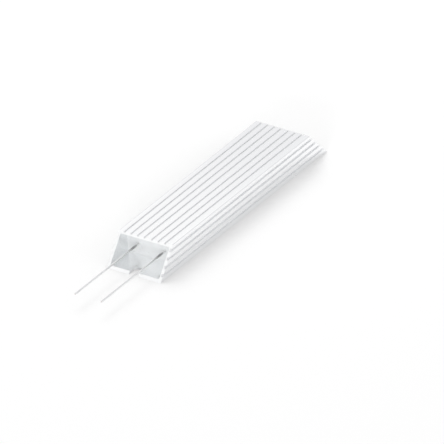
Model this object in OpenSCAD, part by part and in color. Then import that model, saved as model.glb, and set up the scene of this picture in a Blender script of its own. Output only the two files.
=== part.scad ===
// Power resistor in a grooved aluminium tube with slanted ends, for screwing flat to a chassis.
// X runs across the tube, Y along it (the leads leave at -Y), Z up from the mounting face.

/* [Housing] */
// Length of the tube along its base
base_len = 265; // [140:5:335]
// Width of the tube
body_w = 60; // [54:1:80]
// Height of the tube
body_h = 28; // [26:1:40]
// Slope of the two end cuts, from the base up
end_angle = 50; // [42:1:75]
// Thickness of the top wall
top_wall = 2.2; // [1.8:0.1:4]
// Thickness of each side wall
side_wall = 2.9; // [2.6:0.1:4]
// Thickness of the base wall
base_wall = 2.5; // [2:0.1:4]
// Rounding of the two outer top edges
edge_r = 0.9; // [0.3:0.1:1.5]
// Rounding of the four inner corners
inner_r = 1; // [0.4:0.1:1.5]

/* [Grooves] */
// Number of grooves along the top
top_grooves = 7; // [3:1:7]
// Width of a top groove
top_groove_w = 1.9; // [1:0.1:2.4]
// Depth of a top groove
top_groove_d = 1.1; // [0.6:0.1:1.3]
// Left edge of the tube to the first top groove
left_margin = 6.7; // [5:0.1:9]
// Last top groove to the right edge of the tube
right_margin = 8.4; // [5:0.1:10]
// Extra width of the land in the middle of the top
middle_land = 0.9; // [0:0.1:2]
// Number of grooves on each side
side_grooves = 4; // [2:1:4]
// Width of a side groove
side_groove_w = 2.4; // [1.2:0.1:3]
// Depth of a side groove
side_groove_d = 1.8; // [0.6:0.1:1.9]
// Top of the tube to the first side groove
top_margin = 4.1; // [3.2:0.1:5]
// Last side groove to the base
base_margin = 5.5; // [4.5:0.1:7]
// Rounding at the foot of every groove
groove_r = 0.4; // [0.1:0.1:0.45]

/* [Mounting notches] */
// Width of the notch in each end of the base
notch_w = 10.6; // [5:0.2:14]
// Depth of the notch from the end of the base
notch_depth = 11.2; // [8:0.2:15]

/* [Seals] */
// Top edge of the end cut to the face of the seal
seal_recess = 8.5; // [2:0.5:14]
// Thickness of each end seal
seal_t = 8; // [4:0.5:12]

/* [Insulation] */
// Thickness of the mica sheets that line the tube
mica_t = 0.7; // [0.4:0.1:1.2]

/* [Resistance elements] */
// Inside of a side wall to the axis of the element next to it
core_inset = 12.5; // [10.5:0.1:13.5]
// Middle of the tube's bore down to the axes of the elements
axis_drop = 0.6; // [0:0.1:1.5]
// Outer diameter of the ceramic formers
former_d = 12; // [8:0.5:13]
// Bore of the ceramic formers
former_bore = 5; // [4:0.5:6]
// Diameter of the resistance wire
wire_d = 1.8; // [1:0.1:2]
// Pitch of the turns
turn_pitch = 3; // [2.4:0.1:5]
// Thickness of the cement coat under the turn crowns
coat_t = 0.6; // [0.3:0.1:0.9]
// Wall of the end ferrules
ferrule_t = 0.8; // [0.5:0.1:1.2]
// Length of the end ferrules
ferrule_len = 9; // [6:0.5:14]
// Thickness of the strap that joins the two elements
strap_t = 1.2; // [0.8:0.1:2]
// Width of the strap
strap_w = 8; // [5:0.5:10]

/* [Leads] */
// Diameter of the terminal pins, and of the swaged tail of each lead
pin_d = 1.4; // [1:0.1:1.4]
// Diameter of the lead wires
lead_d = 1.6; // [1.5:0.1:2.4]
// Length of the taper between lead and tail
swage_run = 0.5; // [0.3:0.1:1]
// Face of the seal to the tip of a lead
lead_reach = 102.5; // [40:0.5:200]
// Face of the seal to the joint between pin and lead
joint_reach = 10.8; // [8:0.2:16]
// Length of the sleeve over the joint
sleeve_len = 12; // [6:0.5:14]
// Wall of the sleeve over the joint, in its middle
sleeve_t = 0.4; // [0.25:0.05:0.6]
// Wall of the sleeve at its two ends
sleeve_lip = 0.15; // [0.1:0.05:0.25]
// Length over which each end of the sleeve tapers
sleeve_taper = 4; // [1:0.5:5]
// Chamfer on the tip of a lead
tip_chamfer = 0.2; // [0.1:0.05:0.4]

/* [Fits] */
// Gap around each piece that slides into the tube or the filling
slide_gap = 0.1; // [0.05:0.05:0.25]
// Gap around a pin or lead in the piece that grips it
grip_gap = 0.02; // [0.01:0.01:0.05]

/* [Hidden] */
$fn = 48;
cut = 1;
half_base = base_len / 2;
half_top = half_base - body_h / tan(end_angle);
cavity_w = body_w - 2 * side_wall;
cavity_h = body_h - top_wall - base_wall;
axis_x = cavity_w / 2 - core_inset;
bore_z = base_wall + cavity_h / 2;
axis_z = bore_z - axis_drop;
seal_face = half_top - seal_recess;
seal_back = seal_face - seal_t;
top_pitch = (body_w - left_margin - right_margin - middle_land) / (top_grooves - 1);
side_pitch = (body_h - top_margin - base_margin) / (side_grooves - 1);
liner_len = 2 * (seal_back - slide_gap);
liner_w = cavity_w - 2 * inner_r;
liner_h = cavity_h - 2 * mica_t - 4 * slide_gap;
fill_w = cavity_w - 2 * mica_t - 4 * slide_gap;
fill_h = liner_h;
core_front = -seal_back + slide_gap;
core_back = seal_back - slide_gap - strap_t;
former_r = former_d / 2;
ferrule_r = former_r + grip_gap + ferrule_t;
coil_front = core_front + ferrule_len + slide_gap;
coil_back = core_back - ferrule_len - slide_gap;
coil_r = former_r + grip_gap + coat_t;
turns = floor((coil_back - coil_front - wire_d) / turn_pitch) + 1;
first_turn = (coil_front + coil_back - (turns - 1) * turn_pitch) / 2;
joint = -seal_face - joint_reach;
lead_tip = -seal_face - lead_reach;
sleeve_from = joint - sleeve_len / 2;
sleeve_to = joint + sleeve_len / 2;

// A cross-section drawn in X and Z, run along Y between two stations
module along_y(from, to) {
    translate([0, to, 0]) rotate([90, 0, 0]) linear_extrude(to - from) children();
}

// A round solid about an element axis: side is -1 for left and 1 for right
module rod(side, r, from, to) {
    translate([side * axis_x, from, axis_z]) rotate([-90, 0, 0]) cylinder(r = r, h = to - from);
}

module pipe(side, r, bore_r, from, to) {
    difference() {
        rod(side, r, from, to);
        rod(side, bore_r, from - cut, to + cut);
    }
}

// A rectangle centred on X and standing on y = 0, with its corners rounded
module rounded_section(w, h, r) {
    translate([-w / 2, r]) square([w, h - 2 * r]);
    translate([r - w / 2, 0]) square([w - 2 * r, h]);
    for (x = [r - w / 2, w / 2 - r], y = [r, h - r]) translate([x, y]) circle(r);
}

// A groove cut downwards from y = 0, with a rounded foot
module groove_section(w, d) {
    translate([-w / 2, groove_r - d]) square([w, d - groove_r + cut]);
    translate([groove_r - w / 2, -d]) square([w - 2 * groove_r, d]);
    for (x = [groove_r - w / 2, w / 2 - groove_r]) translate([x, groove_r - d]) circle(groove_r);
}

// ---------- housing: an extruded tube, sawn on the slant and notched at both ends ----------

module tube_outline() {
    translate([-body_w / 2, 0]) square([body_w, body_h - edge_r]);
    translate([edge_r - body_w / 2, 0]) square([body_w - 2 * edge_r, body_h]);
    for (s = [-1, 1]) translate([s * (body_w / 2 - edge_r), body_h - edge_r]) circle(edge_r);
}

module top_groove_row() {
    for (i = [0 : top_grooves - 1]) {
        land = i >= top_grooves / 2 ? middle_land : 0;
        translate([left_margin - body_w / 2 + i * top_pitch + land, body_h])
            groove_section(top_groove_w, top_groove_d);
    }
}

module side_groove_row(s) {
    for (i = [0 : side_grooves - 1])
        translate([s * body_w / 2, body_h - top_margin - i * side_pitch])
            rotate(-s * 90) groove_section(side_groove_w, side_groove_d);
}

module tube_section() {
    difference() {
        tube_outline();
        translate([0, base_wall]) rounded_section(cavity_w, cavity_h, inner_r);
        top_groove_row();
        for (s = [-1, 1]) side_groove_row(s);
    }
}

module slanted_ends() {
    rotate([90, 0, 90]) linear_extrude(body_w + 2 * cut, center = true)
        polygon([[-half_base, 0], [half_base, 0], [half_top, body_h], [-half_top, body_h]]);
}

module notch(s) {
    r = notch_w / 2;
    centre = half_base - notch_depth + r;
    translate([0, 0, -cut]) linear_extrude(base_wall + inner_r + cut) {
        translate([0, s * centre]) circle(r);
        translate([-r, s > 0 ? centre : -half_base - cut]) square([notch_w, half_base - centre + cut]);
    }
}

module housing() {
    color("gainsboro") difference() {
        intersection() {
            along_y(-half_base, half_base) tube_section();
            slanted_ends();
        }
        notch(-1);
        notch(1);
    }
}

// ---------- seals and insulation ----------

module seal_block(from, to) {
    along_y(from, to) translate([0, base_wall + slide_gap])
        rounded_section(cavity_w - 2 * slide_gap, cavity_h - 2 * slide_gap, inner_r);
}

module front_seal() {
    color("lightgrey") difference() {
        seal_block(-seal_face, -seal_back);
        for (s = [-1, 1]) rod(s, pin_d / 2 + grip_gap, -seal_face - cut, -seal_back + cut);
    }
}

module rear_seal() {
    color("lightgrey") seal_block(seal_back, seal_face);
}

module mica_flat(z) {
    color("tan") translate([-liner_w / 2, -liner_len / 2, z]) cube([liner_w, liner_len, mica_t]);
}

module mica_edge(s) {
    x = s > 0 ? cavity_w / 2 - slide_gap - mica_t : slide_gap - cavity_w / 2;
    color("tan") translate([x, -liner_len / 2, base_wall + mica_t + 2 * slide_gap])
        cube([mica_t, liner_len, liner_h]);
}

module mica_top() { mica_flat(body_h - top_wall - slide_gap - mica_t); }
module mica_base() { mica_flat(base_wall + slide_gap); }
module mica_left() { mica_edge(-1); }
module mica_right() { mica_edge(1); }

// The strap's outline across the tube, grown by a gap
module strap_section(gap) {
    square([2 * axis_x, strap_w + 2 * gap], center = true);
    for (s = [-1, 1]) translate([s * axis_x, 0]) circle(strap_w / 2 + gap);
}

// Baked filling, cast around both elements and the strap
module filling() {
    color("wheat") difference() {
        translate([-fill_w / 2, -liner_len / 2, bore_z - fill_h / 2]) cube([fill_w, liner_len, fill_h]);
        for (s = [-1, 1]) {
            rod(s, ferrule_r + slide_gap, -seal_back, core_back + slide_gap);
            rod(s, coil_r + wire_d / 2 + slide_gap, coil_front, coil_back);
        }
        translate([0, 0, axis_z]) along_y(core_back - slide_gap, seal_back) strap_section(slide_gap);
    }
}

// ---------- resistance elements ----------

module former(side) {
    color("ivory") pipe(side, former_r, former_bore / 2, core_front + ferrule_t, core_back - ferrule_t);
}

// Turns of wire sunk in their cement coat, the crowns standing proud of it
module winding(side) {
    color("dimgray") translate([side * axis_x, 0, axis_z]) rotate([-90, 0, 0]) rotate_extrude() {
        translate([former_r + grip_gap, coil_front]) square([coat_t, coil_back - coil_front]);
        intersection() {
            for (i = [0 : turns - 1]) translate([coil_r, first_turn + i * turn_pitch]) circle(wire_d / 2);
            translate([former_r + grip_gap, coil_front]) square([former_r, coil_back - coil_front]);
        }
    }
}

// Cup over the end of a former: its floor faces the seal
module ferrule(side, end) {
    from = end < 0 ? core_front : core_back - ferrule_len;
    former_from = end < 0 ? core_front + ferrule_t : core_back - ferrule_len - cut;
    color("silver") difference() {
        rod(side, ferrule_r, from, from + ferrule_len);
        rod(side, former_r + grip_gap, former_from, former_from + ferrule_len - ferrule_t + cut);
        rod(side, pin_d / 2 + grip_gap, from - cut, from + ferrule_len + cut);
    }
}

module former_left() { former(-1); }
module former_right() { former(1); }
module winding_left() { winding(-1); }
module winding_right() { winding(1); }
module front_ferrule_left() { ferrule(-1, -1); }
module front_ferrule_right() { ferrule(1, -1); }
module rear_ferrule_left() { ferrule(-1, 1); }
module rear_ferrule_right() { ferrule(1, 1); }

module link_strap() {
    color("darkgoldenrod") translate([0, 0, axis_z]) along_y(core_back, core_back + strap_t) strap_section(0);
}

// ---------- leads ----------

// A pin runs from inside the ferrule, out through the seal, to the joint
module terminal_pin(side) {
    color("silver") rod(side, pin_d / 2, joint, core_front + 2 * ferrule_t);
}

// A cone about a lead's axis
module taper(side, r_from, r_to, from, to) {
    translate([side * axis_x, from, axis_z]) rotate([-90, 0, 0]) cylinder(r1 = r_from, r2 = r_to, h = to - from);
}

// Stiff wire, chamfered at the tip and swaged down to the pin's diameter under the sleeve
module lead(side) {
    color("silver") {
        taper(side, lead_d / 2 - tip_chamfer, lead_d / 2, lead_tip, lead_tip + tip_chamfer);
        rod(side, lead_d / 2, lead_tip + tip_chamfer, sleeve_from - swage_run);
        taper(side, lead_d / 2, pin_d / 2, sleeve_from - swage_run, sleeve_from);
        rod(side, pin_d / 2, sleeve_from, joint);
    }
}

// Shrunk over the joint, so it is thickest in the middle and thins out at both ends
module joint_sleeve(side) {
    bore_r = pin_d / 2 + grip_gap;
    crown_r = bore_r + sleeve_t;
    color("dimgray") difference() {
        union() {
            taper(side, bore_r + sleeve_lip, crown_r, sleeve_from, sleeve_from + sleeve_taper);
            rod(side, crown_r, sleeve_from + sleeve_taper, sleeve_to - sleeve_taper);
            taper(side, crown_r, bore_r + sleeve_lip, sleeve_to - sleeve_taper, sleeve_to);
        }
        rod(side, bore_r, sleeve_from - cut, sleeve_to + cut);
    }
}

module terminal_pin_left() { terminal_pin(-1); }
module terminal_pin_right() { terminal_pin(1); }
module lead_left() { lead(-1); }
module lead_right() { lead(1); }
module joint_sleeve_left() { joint_sleeve(-1); }
module joint_sleeve_right() { joint_sleeve(1); }

housing();
front_seal();
rear_seal();
mica_top();
mica_base();
mica_left();
mica_right();
filling();
former_left();
former_right();
winding_left();
winding_right();
front_ferrule_left();
front_ferrule_right();
rear_ferrule_left();
rear_ferrule_right();
link_strap();
terminal_pin_left();
terminal_pin_right();
lead_left();
lead_right();
joint_sleeve_left();
joint_sleeve_right();
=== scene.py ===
"""Looks of the aluminium housed power resistor: the cast seals and shrink sleeves modelled over the
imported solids, the finishes of every piece, the studio and the camera."""
import math

import bpy
from mathutils import Matrix, Vector, noise


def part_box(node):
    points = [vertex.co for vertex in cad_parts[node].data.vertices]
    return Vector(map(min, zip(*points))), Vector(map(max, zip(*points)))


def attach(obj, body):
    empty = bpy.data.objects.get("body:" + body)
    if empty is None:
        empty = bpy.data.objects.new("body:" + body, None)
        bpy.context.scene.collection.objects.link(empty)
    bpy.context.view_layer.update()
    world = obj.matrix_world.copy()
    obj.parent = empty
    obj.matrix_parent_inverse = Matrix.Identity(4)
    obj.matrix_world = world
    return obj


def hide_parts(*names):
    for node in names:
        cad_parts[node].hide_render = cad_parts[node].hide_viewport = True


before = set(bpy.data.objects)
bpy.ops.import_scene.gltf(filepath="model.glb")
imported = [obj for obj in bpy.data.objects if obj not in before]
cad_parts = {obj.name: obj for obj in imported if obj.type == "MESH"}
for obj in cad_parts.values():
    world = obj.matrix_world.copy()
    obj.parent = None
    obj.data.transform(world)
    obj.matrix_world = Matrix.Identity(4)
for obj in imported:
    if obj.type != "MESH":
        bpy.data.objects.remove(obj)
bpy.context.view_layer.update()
bpy.ops.object.select_all(action="DESELECT")

MM = 0.001

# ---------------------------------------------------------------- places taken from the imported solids

TUBE_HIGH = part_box("housing")[1]
SEAL_LOW, SEAL_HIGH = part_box("front_seal")
REAR_LOW, REAR_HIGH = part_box("rear_seal")
SLEEVE_LOW, SLEEVE_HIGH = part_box("joint_sleeve_right")
LEAD_LOW, LEAD_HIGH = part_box("lead_right")
PIN_LOW, PIN_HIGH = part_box("terminal_pin_right")
COIL_LOW, COIL_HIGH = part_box("winding_right")

HALF_WIDTH = TUBE_HIGH[0]
TOP = TUBE_HIGH[2]
BORE_FLOOR = SEAL_LOW[2]
SEAL_FACE = REAR_HIGH[1]                         # both seals' outer faces are this far from the middle
SLEEVE_MIDDLE = (SLEEVE_LOW[1] + SLEEVE_HIGH[1]) / 2
AXIS_X = (LEAD_LOW[0] + LEAD_HIGH[0]) / 2        # of a lead, its pin and the element behind it
AXIS_Z = (LEAD_LOW[2] + LEAD_HIGH[2]) / 2
LEAD_TIP = LEAD_LOW[1]
PIN_R = (PIN_HIGH[0] - PIN_LOW[0]) / 2
COIL_R = (COIL_HIGH[0] - COIL_LOW[0]) / 2
SIDES = (("left", -1), ("right", 1))

# ---------------------------------------------------------------- camera

VIEW_RIGHT = Vector((0.8178, 0.5707, -0.0754))   # the view's right, in the object's frame
VIEW_UP = Vector((-0.2376, 0.4539, 0.8589))      # the view's up, which leans a little to the left
FRAME_WIDTH = 403.4 * MM                         # what the parallel view takes in
VIEW_POINT = Vector((0, -34.5 * MM, 14 * MM))    # the point that the two offsets are taken from
OFF_LEFT = 25.5 * MM                             # how far that point is left of the middle of the view
OFF_UP = 7.8 * MM                                # and how far above it
CAMERA_AWAY = 1.2


def make_camera():
    right = VIEW_RIGHT.normalized()
    back = right.cross(VIEW_UP).normalized()
    up = back.cross(right)
    place = VIEW_POINT + right * OFF_LEFT - up * OFF_UP + back * CAMERA_AWAY
    data = bpy.data.cameras.new("camera")
    data.type = "ORTHO"
    data.ortho_scale = FRAME_WIDTH
    camera = bpy.data.objects.new("camera", data)
    bpy.context.scene.collection.objects.link(camera)
    turn = Matrix((right, up, back)).transposed()
    camera.matrix_world = Matrix.Translation(place) @ turn.to_4x4()
    bpy.context.scene.camera = camera


# ---------------------------------------------------------------- node helpers

def plug(tree, socket, value):
    """Fills a socket: from another node's output, or with a plain value."""
    if isinstance(value, bpy.types.NodeSocket):
        tree.links.new(value, socket)
    elif isinstance(value, tuple) and len(value) == 3 and socket.type == "RGBA":
        socket.default_value = (*value, 1)
    else:
        socket.default_value = value


def node(tree, kind, sockets=(), **settings):
    made = tree.nodes.new("ShaderNode" + kind)
    for name, value in settings.items():
        setattr(made, name, value)
    for name, value in dict(sockets).items():
        plug(tree, made.inputs[name], value)
    return made


def calc(tree, how, a, b=0.0, clamp=False):
    return node(tree, "Math", {0: a, 1: b}, operation=how, use_clamp=clamp).outputs[0]


def product(tree, *factors):
    """Masks or numbers multiplied together: a product of masks is what all of them cover."""
    total = factors[0]
    for factor in factors[1:]:
        total = calc(tree, "MULTIPLY", total, factor)
    return total


def faint(tree, mask, share):
    """A mask at that share of its strength."""
    return product(tree, mask, share)


def absolute(tree, value):
    return calc(tree, "ABSOLUTE", value)


def long_side(tree, a, b):
    """The long side of a right-angled triangle whose other sides are a and b."""
    return calc(tree, "SQRT", calc(tree, "ADD", product(tree, a, a), product(tree, b, b)))


def step(tree, value, span, to_low=0.0, to_high=1.0):
    """Eases from to_low to to_high as the value goes from one end of the span to the other."""
    sockets = {"Value": value, "From Min": span[0], "From Max": span[1],
               "To Min": to_low, "To Max": to_high}
    return node(tree, "MapRange", sockets, interpolation_type="SMOOTHSTEP").outputs[0]


def mix_color(tree, factor, a, b):
    return node(tree, "Mix", {0: factor, 6: a, 7: b}, data_type="RGBA").outputs[2]


def mix_value(tree, factor, a, b):
    return node(tree, "Mix", {0: factor, 2: a, 3: b}, data_type="FLOAT").outputs[0]


def stretched(tree, x, y, z, by_x, by_y, by_z):
    """The point x, y, z as a vector, with each of the three multiplied by its own number."""
    return node(tree, "CombineXYZ", {0: product(tree, x, by_x), 1: product(tree, y, by_y),
                                     2: product(tree, z, by_z)}).outputs[0]


def clouded(tree, vector, scale, detail=2.0, **more):
    """Soft noise between 0 and 1, about scale clouds to each metre of the vector."""
    sockets = {"Vector": vector, "Scale": scale, "Detail": detail, **more}
    return node(tree, "TexNoise", sockets).outputs[0]


def bump(tree, height, depth, normal=None):
    """A normal that follows a height of 0 to 1, laid over another normal if one is given."""
    sockets = {"Height": height, "Distance": depth, "Strength": 1.0}
    if normal is not None:
        sockets["Normal"] = normal
    return node(tree, "Bump", sockets).outputs[0]


# ---------------------------------------------------------------- shared effects

STREAK_SPAN = (0.36, 0.66)       # the part of the noise over which a mark grows from none to full
FINE_STREAKS = 0.55              # the share of fine streaks among broad ones
MOTTLE_SPAN = (0.32, 0.68)
FINE_MOTTLE = 0.45
SMUDGE_SPAN = (0.45, 0.75)
RUB_PATCH = (0.35, 0.6)
RUB_LEAST = 0.35                 # how much an edge is rubbed between the patches
RUB_TURN = (0.995, 0.86)         # how well the rounded and the flat normal agree, off an edge and on it
PITTED_CELLS = (0.55, 1.0)       # each cell draws a lot from 0 to 1: these hold a pit, from small to full
LEAST_PIT = 0.001


def new_effect(name, inputs, outputs):
    """An empty node group with those float or vector inputs and outputs."""
    group = bpy.data.node_groups.new(name, "ShaderNodeTree")
    for label, value in inputs.items():
        kind = "NodeSocketVector" if value is None else "NodeSocketFloat"
        socket = group.interface.new_socket(name=label, in_out="INPUT", socket_type=kind)
        if value is not None:
            socket.default_value = value
    for label in outputs:
        kind = "NodeSocketVector" if label == "Normal" else "NodeSocketFloat"
        group.interface.new_socket(name=label, in_out="OUTPUT", socket_type=kind)
    return group, group.nodes.new("NodeGroupInput").outputs, group.nodes.new("NodeGroupOutput").inputs


def effect_die_lines():
    """Fine streaks along Y, as a die or a drawing plate leaves them. Spread is streaks per metre."""
    inputs = {"Vector": None, "Spread": 900.0, "Run": 6.0}
    g, given, out = new_effect("die_lines", inputs, ("Streak", "Height"))
    x, y, z = node(g, "SeparateXYZ", {0: given["Vector"]}).outputs
    across = stretched(g, x, y, z, given["Spread"], given["Run"], given["Spread"])
    broad = clouded(g, across, scale=0.35)
    fine = clouded(g, across, scale=1.6, detail=3.0, Roughness=0.6)
    lines = mix_value(g, FINE_STREAKS, broad, fine)
    g.links.new(step(g, lines, STREAK_SPAN), out["Streak"])
    g.links.new(lines, out["Height"])
    return g


def effect_edge_rub():
    """Where handling has rubbed the edges, in patches, and a normal that rounds them."""
    g, given, out = new_effect("edge_rub", {"Vector": None, "Width": 0.4 * MM}, ("Rub", "Normal"))
    rounded = node(g, "Bevel", {"Radius": given["Width"]}, samples=4).outputs[0]
    flat = node(g, "NewGeometry").outputs["Normal"]
    agree = node(g, "VectorMath", {0: rounded, 1: flat}, operation="DOT_PRODUCT").outputs["Value"]
    patchy = clouded(g, given["Vector"], scale=420.0, detail=3.0)
    patches = step(g, patchy, RUB_PATCH, to_low=RUB_LEAST)
    g.links.new(product(g, step(g, agree, RUB_TURN), patches), out["Rub"])
    g.links.new(rounded, out["Normal"])
    return g


def effect_mottle():
    """Cloudy change of tone, broad and fine together. Cloud and Grain are clouds per metre."""
    inputs = {"Vector": None, "Cloud": 60.0, "Grain": 900.0}
    g, given, out = new_effect("mottle", inputs, ("Tone", "Height"))
    cloud = clouded(g, given["Vector"], scale=given["Cloud"], detail=3.0)
    grain = clouded(g, given["Vector"], scale=given["Grain"], detail=4.0, Roughness=0.65)
    g.links.new(step(g, mix_value(g, FINE_MOTTLE, cloud, grain), MOTTLE_SPAN), out["Tone"])
    g.links.new(grain, out["Height"])
    return g


def effect_pits():
    """Small round pits and bubbles, some cells left without one. Cells is cells per metre."""
    inputs = {"Vector": None, "Cells": 500.0, "Size": 0.25}
    g, given, out = new_effect("pits", inputs, ("Pit", "Height"))
    cells = node(g, "TexVoronoi", {"Vector": given["Vector"], "Scale": given["Cells"], "Randomness": 1.0})
    lot = node(g, "SeparateColor", {0: cells.outputs["Color"]}).outputs[0]
    radius = product(g, given["Size"], step(g, lot, PITTED_CELLS))
    from_middle = calc(g, "DIVIDE", cells.outputs["Distance"], calc(g, "MAXIMUM", radius, LEAST_PIT))
    depth = calc(g, "SUBTRACT", 1.0, from_middle, clamp=True)
    g.links.new(depth, out["Pit"])
    g.links.new(product(g, depth, -1.0), out["Height"])
    return g


def effect_smudge():
    """Where hands and wiping have left a surface duller. Size is smudges per metre."""
    g, given, out = new_effect("smudge", {"Vector": None, "Size": 45.0}, ("Smudge",))
    broad = clouded(g, given["Vector"], scale=given["Size"], detail=4.0, Distortion=0.8)
    g.links.new(step(g, broad, SMUDGE_SPAN), out["Smudge"])
    return g


EFFECTS = {}


def make_effects():
    EFFECTS["die_lines"] = effect_die_lines()
    EFFECTS["edge_rub"] = effect_edge_rub()
    EFFECTS["mottle"] = effect_mottle()
    EFFECTS["pits"] = effect_pits()
    EFFECTS["smudge"] = effect_smudge()


def effect(tree, name, **values):
    """A shared effect placed in a material, on its Object coordinates unless Vector is given."""
    placed = node(tree, "Group", node_tree=EFFECTS[name])
    values.setdefault("Vector", shaded_point(tree))
    for label, value in values.items():
        plug(tree, placed.inputs[label], value)
    return placed.outputs


# ---------------------------------------------------------------- what every finish starts from

def new_finish(name, **fixed):
    """A material with its Principled BSDF: fixed gives the sockets that are the same all over."""
    made = bpy.data.materials.new(name)
    made.use_nodes = True
    shader = made.node_tree.nodes["Principled BSDF"]
    for label, value in fixed.items():
        plug(made.node_tree, shader.inputs[label.replace("_", " ")], value)
    return made, made.node_tree, shader.inputs


def lay_on(tree, shader, tone, rough, normal):
    """Connects what changes over the surface of every finish."""
    plug(tree, shader["Base Color"], tone)
    plug(tree, shader["Roughness"], rough)
    plug(tree, shader["Normal"], normal)


def shaded_point(tree):
    return node(tree, "TexCoord").outputs["Object"]


def place_in(tree):
    """X, Y and Z of the shaded point, in the object's frame."""
    return node(tree, "SeparateXYZ", {0: shaded_point(tree)}).outputs


def facing(tree):
    """X, Y and Z of the surface's own normal."""
    return node(tree, "SeparateXYZ", {0: node(tree, "TexCoord").outputs["Normal"]}).outputs


def from_lead_axis(tree):
    """How far the shaded point is from the axis of the lead and the element on its side."""
    place = place_in(tree)
    across = calc(tree, "SUBTRACT", absolute(tree, place["X"]), AXIS_X)
    above = calc(tree, "SUBTRACT", place["Z"], AXIS_Z)
    return long_side(tree, across, above)


# ---------------------------------------------------------------- extruded tube

ALUMINIUM = (0.98, 0.985, 0.993)
ALUMINIUM_STREAK = (0.96, 0.966, 0.976)
# painted shade: the level top darkens towards the rear
ALUMINIUM_TOP_SHADE = (0.865, 0.872, 0.888)
# painted shade in the top and side grooves
ALUMINIUM_GROOVE_SHADE = (0.852, 0.857, 0.867)
ALUMINIUM_SIDE_GROOVE_SHADE = (0.915, 0.92, 0.93)
# painted shade: a dark line along the rounded top corners
ALUMINIUM_CORNER_SHADE = (0.81, 0.82, 0.83)
ALUMINIUM_SAWN = (0.983, 0.991, 0.997)
ALUMINIUM_BORE = (0.99, 0.995, 0.998)
# painted shade on the side walls of the bore
ALUMINIUM_BORE_SIDE_SHADE = (0.925, 0.935, 0.94)
# painted shade on the sides of the notch in the base
ALUMINIUM_NOTCH_SIDE_SHADE = (0.88, 0.89, 0.9)
ALUMINIUM_NOTCH_END_SHADE = (0.62, 0.63, 0.64)        # painted shade, darkest at the notch's end
COMPOUND = (0.912, 0.93, 0.94)
COMPOUND_DARK = (0.852, 0.87, 0.88)

METAL_SKIN = 0.95                # how metallic each part of the surface is
METAL_GROOVE = 0.6
METAL_BORE = 0.95
METAL_SAWN = 0.8
ROUGH_SKIN = 0.17                # and how rough
ROUGH_STREAK = 0.22
ROUGH_SMUDGED = 0.28
ROUGH_GROOVE = 0.52
ROUGH_BORE = 0.22
ROUGH_SAWN = 0.3
ROUGH_SAW_MARK = 0.42
ROUGH_RESIDUE = 0.8

SAWN_TURN = (0.35, 0.5)          # how far a face looks along Y, from extruded to sawn
BORE_SIDE_TURN = (0.4, 0.7)      # how far it looks along X, from the bore's floor or roof to its sides, which take painted shade
NOTCH_SIDE_TURN = (0.3, 0.8)     # and from the notch's end to its sides
UPRIGHT_TURN = (0.3, 0.1)        # how far it looks along Z, from level to upright
LEVEL_TURN = (0.3, 0.9)          # and from upright to level
FOOT = (0.1 * MM, 0.4 * MM)      # height over which the underside gives way to the rest
BORE_DEPTH = 2 * MM              # faces further in than this are in the bore, and nearer ones in grooves
BORE_START = (BORE_DEPTH, BORE_DEPTH + 0.1 * MM)
GROOVE_START = (0.15 * MM, 0.4 * MM)
TOP_GROOVE_STOP = (BORE_DEPTH, BORE_DEPTH - 0.2 * MM)
SIDE_GROOVE_STOP = (BORE_DEPTH, BORE_DEPTH - 0.1 * MM)
GROOVE_MARGIN = (1.0 * MM, 1.2 * MM)             # no groove is nearer than this to the next face
CORNER_RUN = (1.3 * MM, 1.0 * MM)                # the rounded top corners, across, where a line of painted shade runs
CORNER_DROP = (0.45 * MM, 0.2 * MM)              # and down
NOTCH_HALF = (5.5 * MM, 5.4 * MM)                # half the width that holds a notch
NOTCH_TOP = (BORE_FLOOR - 0.05 * MM, BORE_FLOOR - 0.2 * MM)
TOP_SHADE_RUN = (-100 * MM, 110 * MM)                 # painted shade on the level top, growing from front to rear
SAW_RADIUS = 150 * MM            # of the blade that cut the ends
SAW_STEP = 0.55 * MM             # from one of its marks to the next
SAW_WOBBLE = 7.0                 # how far they stray, in radians of their wave
RESIDUE_REACH = 3 * MM           # how far the sealing compound has smeared along the bore
RESIDUE_FADE = (0.0, -2.5 * MM)
RESIDUE_EDGE = (0.3, 0.7)


def saw_marks(tree):
    """Shallow arcs across a sawn face, as a circular saw leaves them."""
    place = place_in(tree)
    radius = long_side(tree, place["X"], calc(tree, "ADD", place["Z"], SAW_RADIUS))
    turns = product(tree, radius, 2 * math.pi / SAW_STEP)
    wobble = product(tree, clouded(tree, shaded_point(tree), scale=900.0), SAW_WOBBLE)
    wave = calc(tree, "SINE", calc(tree, "ADD", turns, wobble))
    return step(tree, wave, (-1.0, 1.0))


def bore_residue(tree, bore):
    """Sealing compound smeared in a ragged band on the walls of the bore, outside each seal."""
    past_seal = calc(tree, "SUBTRACT", absolute(tree, place_in(tree)["Y"]), SEAL_FACE)
    ragged = step(tree, clouded(tree, shaded_point(tree), scale=160.0, detail=5.0), RESIDUE_EDGE)
    past_edge = calc(tree, "SUBTRACT", past_seal, product(tree, ragged, RESIDUE_REACH))
    return product(tree, bore, step(tree, past_edge, RESIDUE_FADE))


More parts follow.
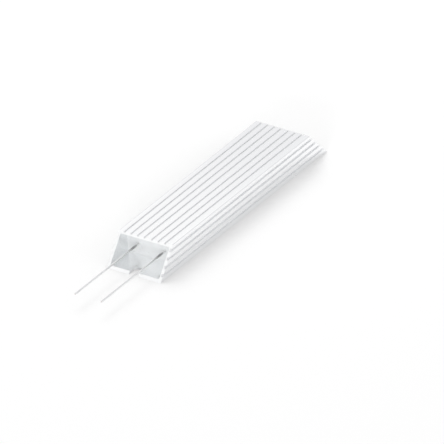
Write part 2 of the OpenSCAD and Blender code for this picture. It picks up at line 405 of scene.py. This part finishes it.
def tube_zones(tree):
    """Masks of the parts of the tube's surface, from where each point is and which way it looks."""
    x, y, z = place_in(tree)
    nx, ny, nz = facing(tree)
    along_x, along_z = absolute(tree, nx), absolute(tree, nz)
    from_side = calc(tree, "SUBTRACT", HALF_WIDTH, absolute(tree, x))
    from_top = calc(tree, "SUBTRACT", TOP, z)
    depth = calc(tree, "MINIMUM", from_side, from_top)
    above_foot = step(tree, z, FOOT)
    sawn = step(tree, absolute(tree, ny), SAWN_TURN)
    extruded = calc(tree, "SUBTRACT", 1.0, sawn)
    bore = product(tree, step(tree, depth, BORE_START), above_foot, extruded)
    in_top = product(tree, step(tree, from_top, GROOVE_START), step(tree, from_top, TOP_GROOVE_STOP))
    in_side = product(tree, step(tree, from_side, GROOVE_START), step(tree, from_side, SIDE_GROOVE_STOP))
    top_groove = product(tree, in_top, extruded, step(tree, from_side, GROOVE_MARGIN))
    side_groove = product(tree, in_side, extruded, step(tree, from_top, GROOVE_MARGIN), above_foot)
    in_notch = product(tree, step(tree, absolute(tree, x), NOTCH_HALF), step(tree, z, NOTCH_TOP),
                       above_foot)
    return {
        "sawn": sawn,
        "bore": bore,
        "bore_side_shade": product(tree, bore, step(tree, along_x, BORE_SIDE_TURN)),
        "top_groove": top_groove,
        "side_groove": side_groove,
        "groove": calc(tree, "MAXIMUM", top_groove, side_groove),
        # painted shade along the rounded top corners
        "corner": product(tree, step(tree, from_side, CORNER_RUN), step(tree, from_top, CORNER_DROP)),
        # where the notch's walls take painted shade
        "notch_shade": product(tree, in_notch, step(tree, along_z, UPRIGHT_TURN)),
        "notch_side": step(tree, along_x, NOTCH_SIDE_TURN),
        # painted shade on the level top, darker towards the rear
        "top_shade_to_rear": product(tree, step(tree, y, TOP_SHADE_RUN), step(tree, nz, LEVEL_TURN)),
        "residue": bore_residue(tree, bore),
    }


def tube_tone(tree, zone, streak, cloud, rub, saw):
    """The tube's tone, zone by zone, each laid over those before it."""
    tone = mix_color(tree, streak, ALUMINIUM, ALUMINIUM_STREAK)
    tone = mix_color(tree, faint(tree, cloud, share=0.25), tone, ALUMINIUM_STREAK)
    # painted shade on the level top, darker towards the rear
    tone = mix_color(tree, zone["top_shade_to_rear"], tone, ALUMINIUM_TOP_SHADE)
    # painted shade in the grooves
    tone = mix_color(tree, zone["top_groove"], tone, ALUMINIUM_GROOVE_SHADE)
    tone = mix_color(tree, zone["side_groove"], tone, ALUMINIUM_SIDE_GROOVE_SHADE)
    tone = mix_color(tree, zone["bore"], tone, ALUMINIUM_BORE)
    # painted shade on the side walls of the bore
    tone = mix_color(tree, zone["bore_side_shade"], tone, ALUMINIUM_BORE_SIDE_SHADE)
    # painted shade along the rounded top corners
    tone = mix_color(tree, zone["corner"], tone, ALUMINIUM_CORNER_SHADE)
    tone = mix_color(tree, faint(tree, rub, share=0.6), tone, ALUMINIUM_SAWN)
    cut = mix_color(tree, faint(tree, saw, share=0.35), ALUMINIUM_SAWN, ALUMINIUM)
    tone = mix_color(tree, zone["sawn"], tone, cut)
    # painted shade in the notch, darkest at its end
    notch = mix_color(tree, zone["notch_side"], ALUMINIUM_NOTCH_END_SHADE, ALUMINIUM_NOTCH_SIDE_SHADE)
    tone = mix_color(tree, zone["notch_shade"], tone, notch)
    return mix_color(tree, zone["residue"], tone, COMPOUND)


def tube_metal(tree, zone):
    metal = mix_value(tree, zone["groove"], METAL_SKIN, METAL_GROOVE)
    metal = mix_value(tree, zone["bore"], metal, METAL_BORE)
    metal = mix_value(tree, zone["sawn"], metal, METAL_SAWN)
    return mix_value(tree, zone["residue"], metal, 0.0)


def tube_rough(tree, zone, streak, smudge, saw):
    rough = mix_value(tree, streak, ROUGH_SKIN, ROUGH_STREAK)
    rough = mix_value(tree, smudge, rough, ROUGH_SMUDGED)
    rough = mix_value(tree, zone["groove"], rough, ROUGH_GROOVE)
    rough = mix_value(tree, zone["bore"], rough, ROUGH_BORE)
    rough = mix_value(tree, zone["sawn"], rough, mix_value(tree, saw, ROUGH_SAWN, ROUGH_SAW_MARK))
    return mix_value(tree, zone["residue"], rough, ROUGH_RESIDUE)


def extruded_aluminium():
    made, tree, shader = new_finish("extruded_aluminium", Specular_IOR_Level=0.4)
    zone = tube_zones(tree)
    lines = effect(tree, "die_lines", Spread=1100.0, Run=5.0)
    rub = effect(tree, "edge_rub", Width=0.25 * MM)
    clouds = effect(tree, "mottle", Cloud=25.0, Grain=2600.0)
    smudge = effect(tree, "smudge", Size=38.0)
    saw = saw_marks(tree)
    drawn = bump(tree, lines["Height"], depth=0.03 * MM, normal=rub["Normal"])
    toothed = bump(tree, product(tree, saw, zone["sawn"]), depth=0.035 * MM, normal=drawn)
    coated = calc(tree, "ADD", clouds["Height"], zone["residue"])
    lay_on(tree, shader,
           tone=tube_tone(tree, zone, lines["Streak"], clouds["Tone"], rub["Rub"], saw),
           rough=tube_rough(tree, zone, lines["Streak"], smudge["Smudge"], saw),
           normal=bump(tree, coated, depth=0.05 * MM, normal=toothed))
    plug(tree, shader["Metallic"], tube_metal(tree, zone))
    return made


# ---------------------------------------------------------------- seal, mica, filling and ceramic

BUBBLE = (0.55, 0.56, 0.56)
# painted shade round the pins
COMPOUND_PIN_SHADE = (0.7, 0.71, 0.71)
PIN_WET_AND_SHADE_REACH = (2.2 * MM, 0.8 * MM)      # from a pin's axis: the compound is smoother where it wets it, and darker there as painted shade
FRONT_HALF = (0.0, -MM)
MICA = (0.66, 0.55, 0.37)
MICA_PALE = (0.8, 0.71, 0.54)
MICA_CLOUD = (0.72, 0.62, 0.45)
FILLING = (0.8, 0.76, 0.68)
FILLING_DARK = (0.7, 0.66, 0.57)
FILLING_HOLE = (0.45, 0.42, 0.36)
CERAMIC = (0.91, 0.89, 0.84)
CERAMIC_DARK = (0.86, 0.83, 0.76)
CERAMIC_SPECK = (0.5, 0.4, 0.3)


def sealing_compound():
    made, tree, shader = new_finish("sealing_compound", Metallic=0.0, Specular_IOR_Level=0.35)
    clouds = effect(tree, "mottle", Cloud=110.0, Grain=1500.0)
    bubbles = effect(tree, "pits", Cells=420.0, Size=0.3)
    rub = effect(tree, "edge_rub", Width=0.3 * MM)
    at_front = step(tree, place_in(tree)["Y"], FRONT_HALF)
    wetted_and_shaded = product(tree, step(tree, from_lead_axis(tree), PIN_WET_AND_SHADE_REACH), at_front)
    tone = mix_color(tree, clouds["Tone"], COMPOUND, COMPOUND_DARK)
    tone = mix_color(tree, faint(tree, bubbles["Pit"], share=0.6), tone, BUBBLE)
    grain = bump(tree, clouds["Height"], depth=0.06 * MM, normal=rub["Normal"])
    # the darker tone round the pins is painted shade; the smoother finish there is real
    lay_on(tree, shader,
           tone=mix_color(tree, faint(tree, wetted_and_shaded, share=0.45), tone, COMPOUND_PIN_SHADE),
           rough=mix_value(tree, wetted_and_shaded, mix_value(tree, clouds["Tone"], 0.68, 0.85), 0.5),
           normal=bump(tree, bubbles["Height"], depth=0.18 * MM, normal=grain))
    return made


def mica_sheet():
    made, tree, shader = new_finish("mica_sheet", Metallic=0.0, Coat_Weight=0.25, Coat_Roughness=0.3)
    cells = node(tree, "TexVoronoi", {"Vector": shaded_point(tree), "Scale": 190.0})
    flake = node(tree, "SeparateColor", {0: cells.outputs["Color"]}).outputs[0]
    clouds = effect(tree, "mottle", Cloud=40.0, Grain=1400.0)
    flaked = mix_color(tree, flake, MICA, MICA_PALE)
    relief = mix_value(tree, factor=0.3, a=flake, b=clouds["Height"])
    lay_on(tree, shader,
           tone=mix_color(tree, faint(tree, clouds["Tone"], share=0.5), flaked, MICA_CLOUD),
           rough=mix_value(tree, flake, 0.28, 0.5),
           normal=bump(tree, relief, depth=0.03 * MM))
    return made


def baked_filling():
    made, tree, shader = new_finish("baked_filling", Metallic=0.0, Specular_IOR_Level=0.2)
    clouds = effect(tree, "mottle", Cloud=80.0, Grain=1900.0)
    holes = effect(tree, "pits", Cells=700.0, Size=0.4)
    baked = mix_color(tree, clouds["Tone"], FILLING, FILLING_DARK)
    grain = bump(tree, clouds["Height"], depth=0.12 * MM)
    lay_on(tree, shader,
           tone=mix_color(tree, holes["Pit"], baked, FILLING_HOLE),
           rough=mix_value(tree, clouds["Tone"], 0.85, 0.97),
           normal=bump(tree, holes["Height"], depth=0.2 * MM, normal=grain))
    return made


def fired_ceramic():
    made, tree, shader = new_finish("fired_ceramic", Metallic=0.0, Coat_Weight=0.15, Coat_Roughness=0.35)
    clouds = effect(tree, "mottle", Cloud=50.0, Grain=1100.0)
    specks = effect(tree, "pits", Cells=330.0, Size=0.16)
    lines = effect(tree, "die_lines", Spread=700.0, Run=4.0)
    fired = mix_color(tree, clouds["Tone"], CERAMIC, CERAMIC_DARK)
    lay_on(tree, shader,
           tone=mix_color(tree, specks["Pit"], fired, CERAMIC_SPECK),
           rough=mix_value(tree, lines["Streak"], 0.45, 0.62),
           normal=bump(tree, lines["Height"], depth=0.03 * MM))
    return made


# ---------------------------------------------------------------- wire, cups, strap and sleeves

OXIDE = (0.3, 0.29, 0.28)
OXIDE_BROWN = (0.4, 0.33, 0.27)
CEMENT = (0.72, 0.7, 0.65)
CEMENT_DARK = (0.6, 0.58, 0.53)
CROWN_SPAN = (COIL_R - 0.75 * MM, COIL_R - 0.5 * MM)     # where the turns stand out of their cement
STEEL = (0.7, 0.7, 0.68)
STEEL_STREAK = (0.6, 0.6, 0.585)
STEEL_HANDLED = (0.52, 0.47, 0.42)
STEEL_RUBBED = (0.8, 0.8, 0.79)
BRASS = (0.75, 0.61, 0.34)
BRASS_STREAK = (0.66, 0.52, 0.27)
BRASS_HANDLED = (0.45, 0.31, 0.17)
BRASS_RUBBED = (0.85, 0.74, 0.48)
TIN = (0.775, 0.78, 0.785)
TIN_DULL = (0.67, 0.675, 0.68)
TIN_STREAK = (0.82, 0.825, 0.83)
COPPER = (0.66, 0.6, 0.56)
CUT_TURN = (-0.8, -0.95)         # how far a face looks along Y, from a lead's side to its cut end
CUT_SPAN = (LEAD_TIP + 0.1 * MM, LEAD_TIP + 0.05 * MM)
SLEEVE = (0.36, 0.36, 0.365)
SLEEVE_DARK = (0.29, 0.29, 0.295)
SLEEVE_STREAK = (0.3, 0.3, 0.305)
SLEEVE_ON_PIN = (0.46, 0.46, 0.465)              # a sleeve is paler towards its end on the pin
SLEEVE_ON_LEAD = (0.62, 0.62, 0.625)             # and paler still towards its end on the lead
ON_PIN_SPAN = (0.5 * MM, 4.5 * MM)               # from its middle
ON_LEAD_SPAN = (0.0, -5.0 * MM)
PUCKERS_AROUND = 180.0           # shrink puckers per metre, round a sleeve
PUCKERS_ALONG = 2400.0           # and along it


def oxidised_winding():
    """Dark oxidised crowns of wire over the pale cement coat that holds them."""
    made, tree, shader = new_finish("oxidised_winding", Specular_IOR_Level=0.4)
    crown = step(tree, from_lead_axis(tree), CROWN_SPAN)
    clouds = effect(tree, "mottle", Cloud=220.0, Grain=2400.0)
    oxide = mix_color(tree, clouds["Tone"], OXIDE, OXIDE_BROWN)
    cement = mix_color(tree, clouds["Tone"], CEMENT, CEMENT_DARK)
    lay_on(tree, shader,
           tone=mix_color(tree, crown, cement, oxide),
           rough=mix_value(tree, crown, 0.9, mix_value(tree, clouds["Tone"], 0.4, 0.6)),
           normal=bump(tree, clouds["Height"], depth=0.05 * MM))
    plug(tree, shader["Metallic"], faint(tree, crown, share=0.9))
    return made


def drawn_steel():
    made, tree, shader = new_finish("drawn_steel", Metallic=1.0)
    lines = effect(tree, "die_lines", Spread=1500.0, Run=40.0)
    smudge = effect(tree, "smudge", Size=120.0)
    rub = effect(tree, "edge_rub", Width=0.2 * MM)
    tone = mix_color(tree, lines["Streak"], STEEL, STEEL_STREAK)
    tone = mix_color(tree, faint(tree, smudge["Smudge"], share=0.5), tone, STEEL_HANDLED)
    lay_on(tree, shader,
           tone=mix_color(tree, rub["Rub"], tone, STEEL_RUBBED),
           rough=mix_value(tree, smudge["Smudge"], 0.28, 0.5),
           normal=bump(tree, lines["Height"], depth=0.02 * MM, normal=rub["Normal"]))
    return made


def punched_brass():
    """Rolled across the tube, so its lines run along X."""
    made, tree, shader = new_finish("punched_brass", Metallic=1.0)
    quarter_turn = {"Vector": shaded_point(tree), "Rotation": (0.0, 0.0, math.pi / 2)}
    rolled = node(tree, "Mapping", quarter_turn).outputs[0]
    lines = effect(tree, "die_lines", Vector=rolled, Spread=1300.0, Run=12.0)
    smudge = effect(tree, "smudge", Size=140.0)
    rub = effect(tree, "edge_rub", Width=0.2 * MM)
    tone = mix_color(tree, lines["Streak"], BRASS, BRASS_STREAK)
    tone = mix_color(tree, faint(tree, smudge["Smudge"], share=0.6), tone, BRASS_HANDLED)
    lay_on(tree, shader,
           tone=mix_color(tree, rub["Rub"], tone, BRASS_RUBBED),
           rough=mix_value(tree, smudge["Smudge"], 0.26, 0.5),
           normal=bump(tree, lines["Height"], depth=0.02 * MM, normal=rub["Normal"]))
    return made


def tinned_wire():
    """Dull tin over copper: the copper shows only in the cut end of a lead."""
    made, tree, shader = new_finish("tinned_wire", Specular_IOR_Level=0.5)
    lines = effect(tree, "die_lines", Spread=2600.0, Run=25.0)
    bloom = effect(tree, "mottle", Cloud=130.0, Grain=2800.0)
    smudge = effect(tree, "smudge", Size=160.0)
    at_tip = step(tree, place_in(tree)["Y"], CUT_SPAN)
    cut_end = product(tree, step(tree, facing(tree)["Y"], CUT_TURN), at_tip)
    relief = mix_value(tree, factor=0.5, a=lines["Height"], b=bloom["Height"])
    tone = mix_color(tree, bloom["Tone"], TIN, TIN_DULL)
    tone = mix_color(tree, faint(tree, lines["Streak"], share=0.3), tone, TIN_STREAK)
    lay_on(tree, shader,
           tone=mix_color(tree, cut_end, tone, COPPER),
           rough=mix_value(tree, bloom["Tone"], 0.32, 0.48),
           normal=bump(tree, relief, depth=0.02 * MM))
    plug(tree, shader["Metallic"], mix_value(tree, smudge["Smudge"], 0.92, 0.75))
    return made


def shrink_sleeve():
    made, tree, shader = new_finish("shrink_sleeve", Metallic=0.0, Sheen_Weight=0.05)
    x, y, z = place_in(tree)
    clouds = effect(tree, "mottle", Cloud=260.0, Grain=3200.0)
    lines = effect(tree, "die_lines", Spread=1800.0, Run=60.0)
    past_joint = calc(tree, "SUBTRACT", y, SLEEVE_MIDDLE)
    around = stretched(tree, x, y, z, PUCKERS_AROUND, PUCKERS_ALONG, PUCKERS_AROUND)
    puckers = clouded(tree, around, scale=1.0)
    relief = mix_value(tree, factor=0.3, a=puckers, b=lines["Height"])
    tone = mix_color(tree, clouds["Tone"], SLEEVE, SLEEVE_DARK)
    tone = mix_color(tree, step(tree, past_joint, ON_PIN_SPAN), tone, SLEEVE_ON_PIN)
    tone = mix_color(tree, step(tree, past_joint, ON_LEAD_SPAN), tone, SLEEVE_ON_LEAD)
    lay_on(tree, shader,
           tone=mix_color(tree, faint(tree, lines["Streak"], share=0.25), tone, SLEEVE_STREAK),
           rough=mix_value(tree, puckers, 0.42, 0.65),
           normal=bump(tree, relief, depth=0.08 * MM))
    return made


# ---------------------------------------------------------------- cast seals

SEAL_CELL = 0.45 * MM            # spacing of the points on a cast face
MENISCUS_RISE = 0.9 * MM         # how far the compound climbs the walls of the bore
MENISCUS_RUN = 1.6 * MM
COLLAR_RISE = 1.1 * MM           # and the pins
COLLAR_RUN = 1.3 * MM
CAST_WAVE = 0.22 * MM            # how far the rest of the face waves
WAVES = 120                      # waves per metre
WAVE_CHOICE = 3.7                # which of the possible faces it is
CORNER_R = 1.0 * MM
SEAL_BOND = Vector((0.095 * MM, 0, 0.095 * MM))  # the compound sets against the walls, with no gap
ON_FACE = 0.01 * MM              # points this near the plane belong to the cast face
SEAL_MERGE = 0.005 * MM          # points this near each other become one
SEAL_CREASE = math.radians(50)


def cast_rise(x, z, low, high, with_pins):
    """How far the cast face stands proud of its plane, from its distance to walls and pins."""
    to_wall = min(x - low[0], high[0] - x, z - low[2], high[2] - z)
    rise = MENISCUS_RISE * math.exp(-to_wall / MENISCUS_RUN)
    if with_pins:
        to_pin = math.hypot(abs(x) - AXIS_X, z - AXIS_Z) - PIN_R
        rise = max(rise, COLLAR_RISE * math.exp(-max(to_pin, 0) / COLLAR_RUN))
    return rise + CAST_WAVE * noise.noise(Vector((x * WAVES, z * WAVES, WAVE_CHOICE)))


def ease_corner(co, low, high):
    """Draws a point back onto the rounded corner of the bore."""
    cx = min(max(co.x, low[0] + CORNER_R), high[0] - CORNER_R)
    cz = min(max(co.z, low[2] + CORNER_R), high[2] - CORNER_R)
    away = math.hypot(co.x - cx, co.z - cz)
    if away > CORNER_R:
        co.x = cx + (co.x - cx) * CORNER_R / away
        co.z = cz + (co.z - cz) * CORNER_R / away


def cast_seal(name, low, high, faces, with_pins):
    """A block of sealing compound that fills the bore. Its outer face, at -Y or +Y, is as it set."""
    bpy.ops.object.select_all(action="DESELECT")
    low, high = Vector(low) - SEAL_BOND, Vector(high) + SEAL_BOND
    width, height = high[0] - low[0], high[2] - low[2]
    columns, rows = round(width / SEAL_CELL), round(height / SEAL_CELL)
    bpy.ops.mesh.primitive_grid_add(x_subdivisions=columns, y_subdivisions=rows, size=1)
    seal = bpy.context.object
    seal.name = name
    plane = low[1] if faces < 0 else high[1]
    inner = high[1] if faces < 0 else low[1]
    middle = Vector(((low[0] + high[0]) / 2, plane, (low[2] + high[2]) / 2))
    turn = Matrix.Rotation(math.pi / 2, 4, "X")
    seal.data.transform(Matrix.Translation(middle) @ turn @ Matrix.Diagonal((width, height, 1, 1)))
    bpy.ops.object.mode_set(mode="EDIT")
    bpy.ops.mesh.select_all(action="SELECT")
    bpy.ops.mesh.extrude_region_move(TRANSFORM_OT_translate={"value": (0, inner - plane, 0)})
    bpy.ops.object.mode_set(mode="OBJECT")
    for v in seal.data.vertices:
        if abs(v.co.y - plane) < ON_FACE:
            v.co.y += faces * cast_rise(v.co.x, v.co.z, low, high, with_pins)
        ease_corner(v.co, low, high)
    bpy.ops.object.mode_set(mode="EDIT")
    close_and_smooth(SEAL_MERGE, SEAL_CREASE)
    return seal


def close_and_smooth(merge, crease):
    """Ends the edit: merges doubles, turns the faces outwards, smooths all turns below the crease."""
    bpy.ops.mesh.select_all(action="SELECT")
    bpy.ops.mesh.remove_doubles(threshold=merge)
    bpy.ops.mesh.normals_make_consistent(inside=False)
    bpy.ops.object.mode_set(mode="OBJECT")
    bpy.ops.object.shade_smooth_by_angle(angle=crease)


# ---------------------------------------------------------------- shrink sleeves

SLEEVE_STATIONS = 30             # rings of points along a sleeve
SLEEVE_SIDES = 32
SLEEVE_TAPER = 4 * MM            # length over which each end narrows
SLEEVE_LIP = 0.15 * MM           # wall left at the very end
SLEEVE_BORE = PIN_R + 0.02 * MM
PUCKER_DEPTH = 0.06 * MM
PUCKER_TURN = 1.9                # how far the wave of puckers goes on at each station, in radians
SLEEVE_MERGE = 0.002 * MM
SLEEVE_CREASE = math.radians(45)


def sleeve_outline(low, high):
    """(station along Y, radius) up the outside of a sleeve: tapered to its ends, a little puckered."""
    crown = (high[0] - low[0]) / 2
    lip = SLEEVE_BORE + SLEEVE_LIP
    length = high[1] - low[1]
    outline = []
    for i in range(SLEEVE_STATIONS + 1):
        along = i / SLEEVE_STATIONS
        y = low[1] + length * along
        to_end = min(y - low[1], high[1] - y) / SLEEVE_TAPER
        ease = math.sin(min(to_end, 1) * math.pi / 2)
        pucker = PUCKER_DEPTH * (1 + math.sin(i * PUCKER_TURN)) / 2 * math.sin(math.pi * along)
        outline.append((y, lip + (crown - lip) * ease - pucker))
    return outline


def spun_sleeve(name, low, high, side):
    """The outline of a sleeve, drawn point by point and spun about the axis of its lead."""
    bpy.ops.object.select_all(action="DESELECT")
    axis_x = side * AXIS_X
    profile = [(low[1], SLEEVE_BORE)] + sleeve_outline(low, high) + [(high[1], SLEEVE_BORE)]
    bpy.ops.mesh.primitive_plane_add(size=MM)
    sleeve = bpy.context.object
    sleeve.name = name
    bpy.ops.object.mode_set(mode="EDIT")
    bpy.ops.mesh.select_all(action="SELECT")
    bpy.ops.mesh.merge(type="CENTER")
    y, r = profile[0]
    bpy.ops.transform.translate(value=(axis_x, y, AXIS_Z + r))
    for next_y, next_r in profile[1:] + profile[:1]:
        move = (0, next_y - y, next_r - r)
        bpy.ops.mesh.extrude_vertices_move(TRANSFORM_OT_translate={"value": move})
        y, r = next_y, next_r
    bpy.ops.mesh.select_all(action="SELECT")
    bpy.ops.mesh.spin(steps=SLEEVE_SIDES, angle=2 * math.pi, center=(axis_x, 0, AXIS_Z), axis=(0, 1, 0))
    close_and_smooth(SLEEVE_MERGE, SLEEVE_CREASE)
    return sleeve


# ---------------------------------------------------------------- putting the finishes on

NODE_FINISH = {
    "housing": extruded_aluminium,
    "front_seal": sealing_compound, "rear_seal": sealing_compound,
    "mica_top": mica_sheet, "mica_base": mica_sheet, "mica_left": mica_sheet, "mica_right": mica_sheet,
    "filling": baked_filling,
    "former_left": fired_ceramic, "former_right": fired_ceramic,
    "winding_left": oxidised_winding, "winding_right": oxidised_winding,
    "front_ferrule_left": drawn_steel, "front_ferrule_right": drawn_steel,
    "rear_ferrule_left": drawn_steel, "rear_ferrule_right": drawn_steel,
    "link_strap": punched_brass,
    "terminal_pin_left": tinned_wire, "terminal_pin_right": tinned_wire,
    "lead_left": tinned_wire, "lead_right": tinned_wire,
    "joint_sleeve_left": shrink_sleeve, "joint_sleeve_right": shrink_sleeve,
}
FINISHES = {}


def finish_of(maker):
    """The finish that a maker builds, built once and shared."""
    if maker not in FINISHES:
        FINISHES[maker] = maker()
    return FINISHES[maker]


def dress(piece, maker):
    piece.data.materials.clear()
    piece.data.materials.append(finish_of(maker))


def dress_nodes():
    for name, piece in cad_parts.items():
        dress(piece, NODE_FINISH[name])


def add_seals():
    for name, low, high, faces, with_pins in (
            ("front_seal", SEAL_LOW, SEAL_HIGH, -1, True), ("rear_seal", REAR_LOW, REAR_HIGH, 1, False)):
        seal = cast_seal("cast_" + name, low, high, faces, with_pins)
        dress(seal, sealing_compound)
        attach(seal, "root")
        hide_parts(name)


def add_sleeves():
    for word, side in SIDES:
        low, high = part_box("joint_sleeve_" + word)
        sleeve = spun_sleeve("shrink_sleeve_" + word, low, high, side)
        dress(sleeve, shrink_sleeve)
        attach(sleeve, "root")
        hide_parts("joint_sleeve_" + word)


# ---------------------------------------------------------------- studio

WHITE = (1.0, 1.0, 1.0)
WORLD_LIGHT = 0.66               # what the surroundings give a level surface; the lamps give the rest
WORLD_MIRRORED = 0.985           # what polished metal sees of them
WORLD_SEEN = 1.0                 # and what the camera sees past the floor
FLOOR_TONE = 0.9
FLOOR_SHADED = 0.711             # its tone close under the foot of the object
FLOOR_SHADE_REACH = 6.5 * MM
FLOOR_LIFT = 0.125               # brings the open floor up to white in the view
FLOOR_SIZE = 8
LAMP_AWAY = 3.0

# name, turn and height in degrees, size, share of a level surface's light
LAMPS = (
    ("back_lamp", 132, 49, 1.8, 0.27),
    ("front_lamp", -70, 7, 1.2, 0.058),
    ("right_lamp", 20, 25, 1.8, 0.035),
)


def soft_lamp(name, turn, height, size, share):
    """A square lamp aimed at the object, strong enough to give that share of a level surface's light."""
    turn, height = math.radians(turn), math.radians(height)
    flat = math.cos(height)
    towards = Vector((flat * math.cos(turn), flat * math.sin(turn), math.sin(height)))
    data = bpy.data.lights.new(name, "AREA")
    data.shape = "SQUARE"
    data.size = size
    data.energy = share * math.pi ** 2 * LAMP_AWAY ** 2 / math.sin(height)
    lamp = bpy.data.objects.new(name, data)
    bpy.context.scene.collection.objects.link(lamp)
    aim = towards.to_track_quat("Z", "Y").to_matrix().to_4x4()
    lamp.matrix_world = Matrix.Translation(towards * LAMP_AWAY) @ aim
    lamp.visible_glossy = False


def seen_directly(tree):
    """1 for what the camera and a first reflection see, 0 for what lights the object."""
    path = node(tree, "LightPath").outputs
    undiffused = calc(tree, "LESS_THAN", path["Diffuse Depth"], 0.5)
    mirrored = calc(tree, "MAXIMUM", path["Is Glossy Ray"], path["Is Transmission Ray"])
    return calc(tree, "MAXIMUM", path["Is Camera Ray"], product(tree, mirrored, undiffused))


def make_world():
    world = bpy.data.worlds.new("studio")
    bpy.context.scene.world = world
    world.use_nodes = True
    tree = world.node_tree
    background = tree.nodes["Background"].inputs
    in_view = node(tree, "LightPath").outputs["Is Camera Ray"]
    strength = mix_value(tree, seen_directly(tree), WORLD_LIGHT, WORLD_MIRRORED)
    plug(tree, background["Color"], WHITE)
    plug(tree, background["Strength"], mix_value(tree, in_view, strength, WORLD_SEEN))


def make_floor():
    """A plain floor, shaded where the object stands close over it."""
    bpy.ops.mesh.primitive_plane_add(size=FLOOR_SIZE)
    floor = bpy.context.object
    floor.name = "floor"
    made, tree, shader = new_finish("studio_floor", Roughness=1.0, Specular_IOR_Level=0.0,
                                    Emission_Color=WHITE)
    open_sky = node(tree, "AmbientOcclusion", {"Distance": FLOOR_SHADE_REACH}, samples=8).outputs["AO"]
    tone = mix_color(tree, open_sky, (FLOOR_SHADED,) * 3, (FLOOR_TONE,) * 3)
    plug(tree, shader["Base Color"], tone)
    plug(tree, shader["Emission Strength"], product(tree, seen_directly(tree), FLOOR_LIFT))
    floor.data.materials.append(made)
    bpy.ops.object.select_all(action="DESELECT")


# ---------------------------------------------------------------- everything in order

make_camera()
make_effects()
dress_nodes()
add_seals()
add_sleeves()
make_world()
make_floor()
for lamp in LAMPS:
    soft_lamp(*lamp)
bpy.context.scene.view_settings.view_transform = "Standard"
